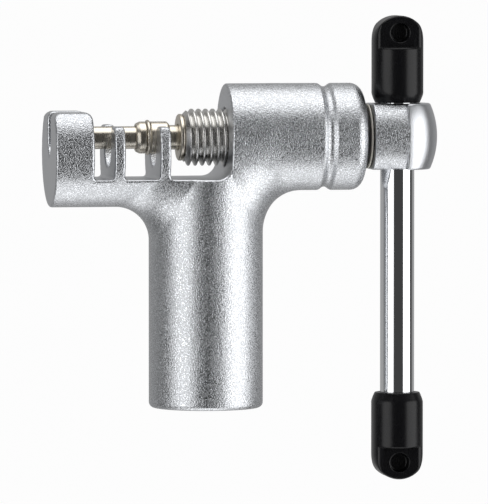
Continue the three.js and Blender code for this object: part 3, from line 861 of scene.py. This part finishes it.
def make_retainer():
    s = in_mm("carrier_sizes")
    flange = RETAINER_HIGH.y
    left, right = RETAINER_LOW.x, RETAINER_HIGH.x
    inner = s.neck_radius + RUN_GAP
    step = left + s.flange + 0.15
    mesh = spun("swivel_retainer", [
        (left, inner, 0.15), (left, flange - 0.2, 0.08), (left + 0.2, flange, 0.08),
        (step - 0.2, flange, 0.1), (step, flange - 0.25, 0.1), (step, 3.1), (right, 3.1),
        (right, inner)], centre=(0, 0, SCREW_HEIGHT))
    finish_piece("swivel_retainer_ring", mesh, "spindle", "warm_steel", ["swivel_retainer"])


def make_rings():
    radius = (O_RING_HIGH.x - O_RING_LOW.x) / 2
    middle = (O_RING_LOW.x + O_RING_HIGH.x) / 2
    outer = O_RING_HIGH.y
    circle = [(middle + radius * math.cos(a), outer - radius + radius * math.sin(a))
              for a in np.linspace(0, 2 * math.pi, 24, endpoint=False)]
    o_ring = spun("neck_o_ring", circle, centre=(0, 0, SCREW_HEIGHT), sides=128)
    finish_piece("neck_o_ring", o_ring, "spindle", "dark_rubber", ["friction_o_ring"])
    inner = in_mm("spindle_sizes").neck_radius + SEAT_GAP
    edge = 0.12
    washer = spun("neck_washer", [
        (WASHER_LOW.x, inner, edge), (WASHER_LOW.x, WASHER_HIGH.y, edge),
        (WASHER_HIGH.x, WASHER_HIGH.y, edge), (WASHER_HIGH.x, inner, edge)],
        centre=(0, 0, SCREW_HEIGHT), sides=128)
    finish_piece("neck_washer", washer, "spindle", "pale_washer", ["thrust_washer"])
    frame["nodes"]["thrust_ball"].data.materials.clear()
    frame["nodes"]["thrust_ball"].data.materials.append(material("warm_steel"))


# ---- pin carrier ----

def make_pin():
    s = in_mm("carrier_sizes")
    radius = PIN_HIGH.y
    mesh = spun("drive_pin", [
        (PIN_LOW.x, 0), (PIN_LOW.x, radius - s.pin_chamfer, 0.1),
        (PIN_LOW.x + s.pin_chamfer, radius, 0.1), (PIN_HIGH.x, radius, 0.1), (PIN_HIGH.x, 0)],
        centre=(0, 0, SCREW_HEIGHT))
    finish_piece("push_pin", mesh, "pin_carrier", "warm_steel", ["drive_pin"])


def make_holder():
    s = in_mm("carrier_sizes")
    left, radius = HOLDER_LOW.x, HOLDER_HIGH.y
    end = left + s.shoulder
    bore = PIN_HIGH.y + 0.12
    groove = (SNAP_LOW.x - 0.12, SNAP_HIGH.x + 0.12)
    foot = RETAINER_HIGH.x + SEAT_GAP
    mesh = spun("pin_holder", [
        (left, bore, 0.1), (left, s.mouth_radius, 0.15), (left + s.cone_length, radius, 0.15),
        (groove[0], radius, 0.08), (groove[0], radius - 0.4), (groove[1], radius - 0.4),
        (groove[1], radius, 0.08),
        (end - 0.4, radius, 0.15), (end, radius - 0.4, 0.1), (end, s.neck_radius, 0.1),
        (foot, s.neck_radius), (foot, HOLDER_HIGH.y - 0.25), (HOLDER_HIGH.x, HOLDER_HIGH.y - 0.25),
        (HOLDER_HIGH.x, 0), (end - 0.9, 0), (end - 0.9, bore)],
        centre=(0, 0, SCREW_HEIGHT))
    finish_piece("pin_holder_shaft", mesh, "pin_carrier", "warm_steel", ["pin_holder"])


def ring_tree():
    """An open round-wire ring about the X axis."""
    number = "NodeSocketFloat"
    t = NodeTree("open_ring", {
        "Radius": (number, 0.003), "Wire": (number, 0.0003), "Sweep": (number, 5.6),
        "Place": (number, 0.0), "Height": (number, 0.0),
    })
    arc = t.node("GeometryNodeCurveArc", {"mode": "RADIUS"}, Resolution=96, Radius=t.given("Radius"),
                 Sweep_Angle=t.given("Sweep"))
    section = t.node("GeometryNodeCurvePrimitiveCircle", {"mode": "RADIUS"}, Resolution=14,
                     Radius=t.given("Wire"))
    swept = t.node("GeometryNodeCurveToMesh", Curve=arc.outputs[0], Profile_Curve=section.outputs[0],
                   Fill_Caps=True)
    where = t.value("ShaderNodeCombineXYZ", X=t.given("Place"), Z=t.given("Height"))
    stood = t.node("GeometryNodeTransform", Geometry=swept.outputs[0], Translation=where,
                   Rotation=(math.pi / 2, 0, math.pi / 2))
    smooth = t.node("GeometryNodeSetShadeSmooth", Geometry=stood.outputs[0])
    t.close(smooth.outputs[0], material("warm_steel"))
    return t


def make_snap_ring():
    wire = (SNAP_HIGH.x - SNAP_LOW.x) / 2
    mesh = ring_tree().build("pin_snap_ring", Radius=(SNAP_HIGH.z - SCREW_HEIGHT - wire) * MM,
                             Wire=wire * MM, Place=(SNAP_LOW.x + wire) * MM,
                             Height=SCREW_HEIGHT * MM)
    finish_piece("holder_snap_ring", outward(mesh), "pin_carrier", "warm_steel", ["pin_snap_ring"])


# ---- tommy bar ----

def make_bar():
    radius = BAR_HIGH.y
    mesh = spun("slide_bar", [
        (BAR_LOW.z, 0), (BAR_LOW.z, radius - 0.4, 0.1), (BAR_LOW.z + 0.4, radius, 0.1),
        (BAR_HIGH.z - 0.4, radius, 0.1), (BAR_HIGH.z, radius - 0.4, 0.1), (BAR_HIGH.z, 0)],
        axis="z", centre=(BAR_X, 0, 0))
    finish_piece("slide_bar", mesh, "t_bar", "polished_chrome", ["tommy_bar"])


class CapForm:
    """A grip cap: round, arched at its tip, with two flats there and a blind hole in each."""

    FOOT_EDGE = 0.3
    TAPER_SLOPE = 0.87       # brings the foot's cone near to a true distance
    TAPER_EDGE = 0.12
    TIP_EDGE = 0.5
    FLAT_EDGE = 0.4
    HOLE_EDGE = 0.18
    BORE_GAP = 0.1

    def __init__(self, node, up):
        self.s = in_mm("cap_sizes")
        self.low, self.high = (Vector(corner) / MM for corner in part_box(node))
        self.up = up
        self.radius = self.high.y
        if up:
            self.low.z -= self.s.foot_drop
        else:
            self.high.z += self.s.foot_drop
        self.tall = self.high.z - self.low.z

    def __call__(self, x, y, z):
        s = self.s
        x = x - BAR_X
        z = z - self.low.z if self.up else self.high.z - z
        radial = np.hypot(x, y)
        shape = cut_round(radial - self.radius, -z, self.FOOT_EDGE)
        cone = s.neck_radius + z * (self.radius - s.neck_radius) / s.neck_length
        shape = cut_round(shape, (radial - cone) * self.TAPER_SLOPE, self.TAPER_EDGE)
        arch = np.hypot(x, np.maximum(z - self.tall + self.radius, 0)) - self.radius
        shape = cut_round(shape, arch, self.TIP_EDGE)
        flat = np.maximum(s.flat_offset - np.abs(y), self.tall - s.flat_length - z)
        shape = cut_round(shape, -flat, self.FLAT_EDGE)
        hole_side = np.hypot(x, z - self.tall + s.hole_from_tip) - s.hole_radius
        hole = cut_round(hole_side, s.flat_offset - s.hole_depth - np.abs(y), self.FLAT_EDGE)
        shape = cut_round(shape, -hole, self.HOLE_EDGE)
        bore = np.maximum(radial - BAR_HIGH.y - self.BORE_GAP, z - s.bore_depth)
        return cut_round(shape, -bore, SEAT_GAP)


def make_cap(name, node, up):
    form = CapForm(node, up)
    mesh, _ = skin_mesh(name, form, form.low, form.high, form.s.cell)
    finish_piece(name, mesh, "t_bar", "black_plastic", [node])


# ---- studio ----

def view_direction():
    studio = settings("studio")
    turn, rise = studio.azimuth, studio.elevation
    return Vector((math.sin(turn) * math.cos(rise), -math.cos(turn) * math.cos(rise), math.sin(rise)))


def make_camera():
    studio = settings("studio")
    camera = bpy.data.cameras.new("camera")
    camera.lens = camera.sensor_width * studio.distance / studio.view_height
    camera.clip_start = 0.01
    camera.clip_end = 50
    holder = bpy.data.objects.new("camera", camera)
    bpy.context.scene.collection.objects.link(holder)
    target = VIEW_MIDDLE * MM
    holder.location = target + view_direction() * studio.distance
    holder.rotation_euler = (-view_direction()).to_track_quat("-Z", "Y").to_euler()
    bpy.context.scene.camera = holder


class Room(Shader):
    """The world: white to the eye, and a soft box room to everything that lights or mirrors."""

    def __init__(self):
        self.world = bpy.data.worlds.new("room")
        bpy.context.scene.world = self.world
        self.world.use_nodes = True
        self.tree = self.world.node_tree
        self.tree.nodes.clear()


def make_room():
    s = Room()
    direction = s.value("ShaderNodeTexCoord", output="Generated")
    split = s.node("ShaderNodeSeparateXYZ", Vector=direction)
    right, back, up = (Value(s, socket) for socket in split.outputs)
    front = -1 * back
    level = 1 - up.step(0.30, 0.62)
    right_box = right.step(0.46, 0.60) * (1 - right.step(0.985, 1.0)) * front.step(-0.05, 0.2) * level
    left_box = (-1 * right).step(0.52, 0.66) * front.step(0.12, 0.32) * level
    top_box = up.step(0.78, 0.88) * front.step(-0.6, -0.4)
    table = (-1 * up).step(0.78, 0.92) * front.step(-0.6, -0.3)
    behind = back.step(0.10, 0.60)
    light = ROOM_LIGHT
    boxes = (light["right"] * right_box + light["left"] * left_box + light["top"] * top_box
             + light["table"] * table)
    room = (light["dark"] + boxes + light["behind"] * behind) * settings("studio").room_light
    eye = s.value("ShaderNodeLightPath", output="Is Camera Ray")
    strength = room * (1 - eye) + eye
    glow = s.node("ShaderNodeBackground", Color=(1, 1, 1, 1), Strength=strength)
    s.node("ShaderNodeOutputWorld", Surface=glow.outputs[0])


def make_floor():
    drop = CAD_BOX[0][2] - FLOOR_DROP
    low, high = -FLOOR_HALF, FLOOR_HALF
    corners = [(low, low), (high, low), (high, high), (low, high)]
    mesh = mesh_of("floor", [(x / MM, y / MM, drop / MM) for x, y in corners], [(0, 1, 2, 3)])
    s = Shader("floor")
    paper = s.noise(30, 3.0)
    card = s.node("ShaderNodeBsdfPrincipled", Base_Color=s.tint((0.86, 0.86, 0.86), 0.97 + 0.05 * paper),
                  Roughness=0.9)
    glow = s.node("ShaderNodeEmission", Color=(1, 1, 1, 1), Strength=1.0)
    eye = s.value("ShaderNodeLightPath", output="Is Camera Ray")
    both = s.node("ShaderNodeMixShader", i0=eye * 0.93, i1=card.outputs[0], i2=glow.outputs[0])
    s.node("ShaderNodeOutputMaterial", Surface=both.outputs[0])
    mesh.materials.append(s.material)
    floor = bpy.data.objects.new("floor", mesh)
    bpy.context.scene.collection.objects.link(floor)
    floor.visible_glossy = False


# ---- operators and panel ----

class Builder:
    bl_options = {"REGISTER", "UNDO"}


class BuildBody(Builder, bpy.types.Operator):
    """Make the cast body with its stem, boss, anvil and notched cradle"""
    bl_idname = "chain_tool.build_body"
    bl_label = "Cast Body"

    def execute(self, context):
        make_body()
        return {"FINISHED"}


class BuildSpindle(Builder, bpy.types.Operator):
    """Make the drive screw's thread, its head and the retaining ring in its nose"""
    bl_idname = "chain_tool.build_spindle"
    bl_label = "Spindle"

    def execute(self, context):
        make_thread()
        make_head()
        make_retainer()
        return {"FINISHED"}


class BuildRings(Builder, bpy.types.Operator):
    """Make the O-ring and the washer on the spindle's neck"""
    bl_idname = "chain_tool.build_rings"
    bl_label = "Neck Rings"

    def execute(self, context):
        make_rings()
        return {"FINISHED"}


class BuildCarrier(Builder, bpy.types.Operator):
    """Make the drive pin, its holder and the snap ring"""
    bl_idname = "chain_tool.build_carrier"
    bl_label = "Pin Carrier"

    def execute(self, context):
        make_pin()
        make_holder()
        make_snap_ring()
        return {"FINISHED"}


class BuildBar(Builder, bpy.types.Operator):
    """Make the sliding bar and its two grip caps"""
    bl_idname = "chain_tool.build_bar"
    bl_label = "Tommy Bar"

    def execute(self, context):
        make_bar()
        make_cap("upper_cap", "upper_grip_cap", up=True)
        make_cap("lower_cap", "lower_grip_cap", up=False)
        return {"FINISHED"}


class BuildStage(Builder, bpy.types.Operator):
    """Make the camera, the white room and the floor"""
    bl_idname = "chain_tool.build_stage"
    bl_label = "Stage"

    def execute(self, context):
        context.scene.view_settings.view_transform = "Standard"
        make_camera()
        make_room()
        make_floor()
        return {"FINISHED"}


OPERATORS = (BuildStage, BuildBody, BuildSpindle, BuildRings, BuildCarrier, BuildBar)


class ChainToolPanel(bpy.types.Panel):
    bl_idname = "VIEW3D_PT_chain_tool"
    bl_label = "Chain Tool"
    bl_space_type = "VIEW_3D"
    bl_region_type = "UI"
    bl_category = "Chain Tool"

    def draw(self, context):
        for group in GROUPS:
            box = self.layout.box()
            props = getattr(context.scene, "chain_tool_" + group)
            for key in props.bl_rna.properties.keys():
                if key not in ("rna_type", "name"):
                    box.prop(props, key)
        for operator in OPERATORS:
            self.layout.operator(operator.bl_idname)


def register():
    for name, group in GROUPS.items():
        bpy.utils.register_class(group)
        setattr(bpy.types.Scene, "chain_tool_" + name, PointerProperty(type=group))
    for cls in (*OPERATORS, ChainToolPanel):
        bpy.utils.register_class(cls)


def unregister():
    for cls in reversed((*OPERATORS, ChainToolPanel)):
        bpy.utils.unregister_class(cls)
    for name, group in reversed(GROUPS.items()):
        delattr(bpy.types.Scene, "chain_tool_" + name)
        bpy.utils.unregister_class(group)


def main():
    register()
    bpy.ops.chain_tool.build_stage()
    bpy.ops.chain_tool.build_body()
    bpy.ops.chain_tool.build_spindle()
    bpy.ops.chain_tool.build_rings()
    bpy.ops.chain_tool.build_carrier()
    bpy.ops.chain_tool.build_bar()


if __name__ == "__main__":
    main()
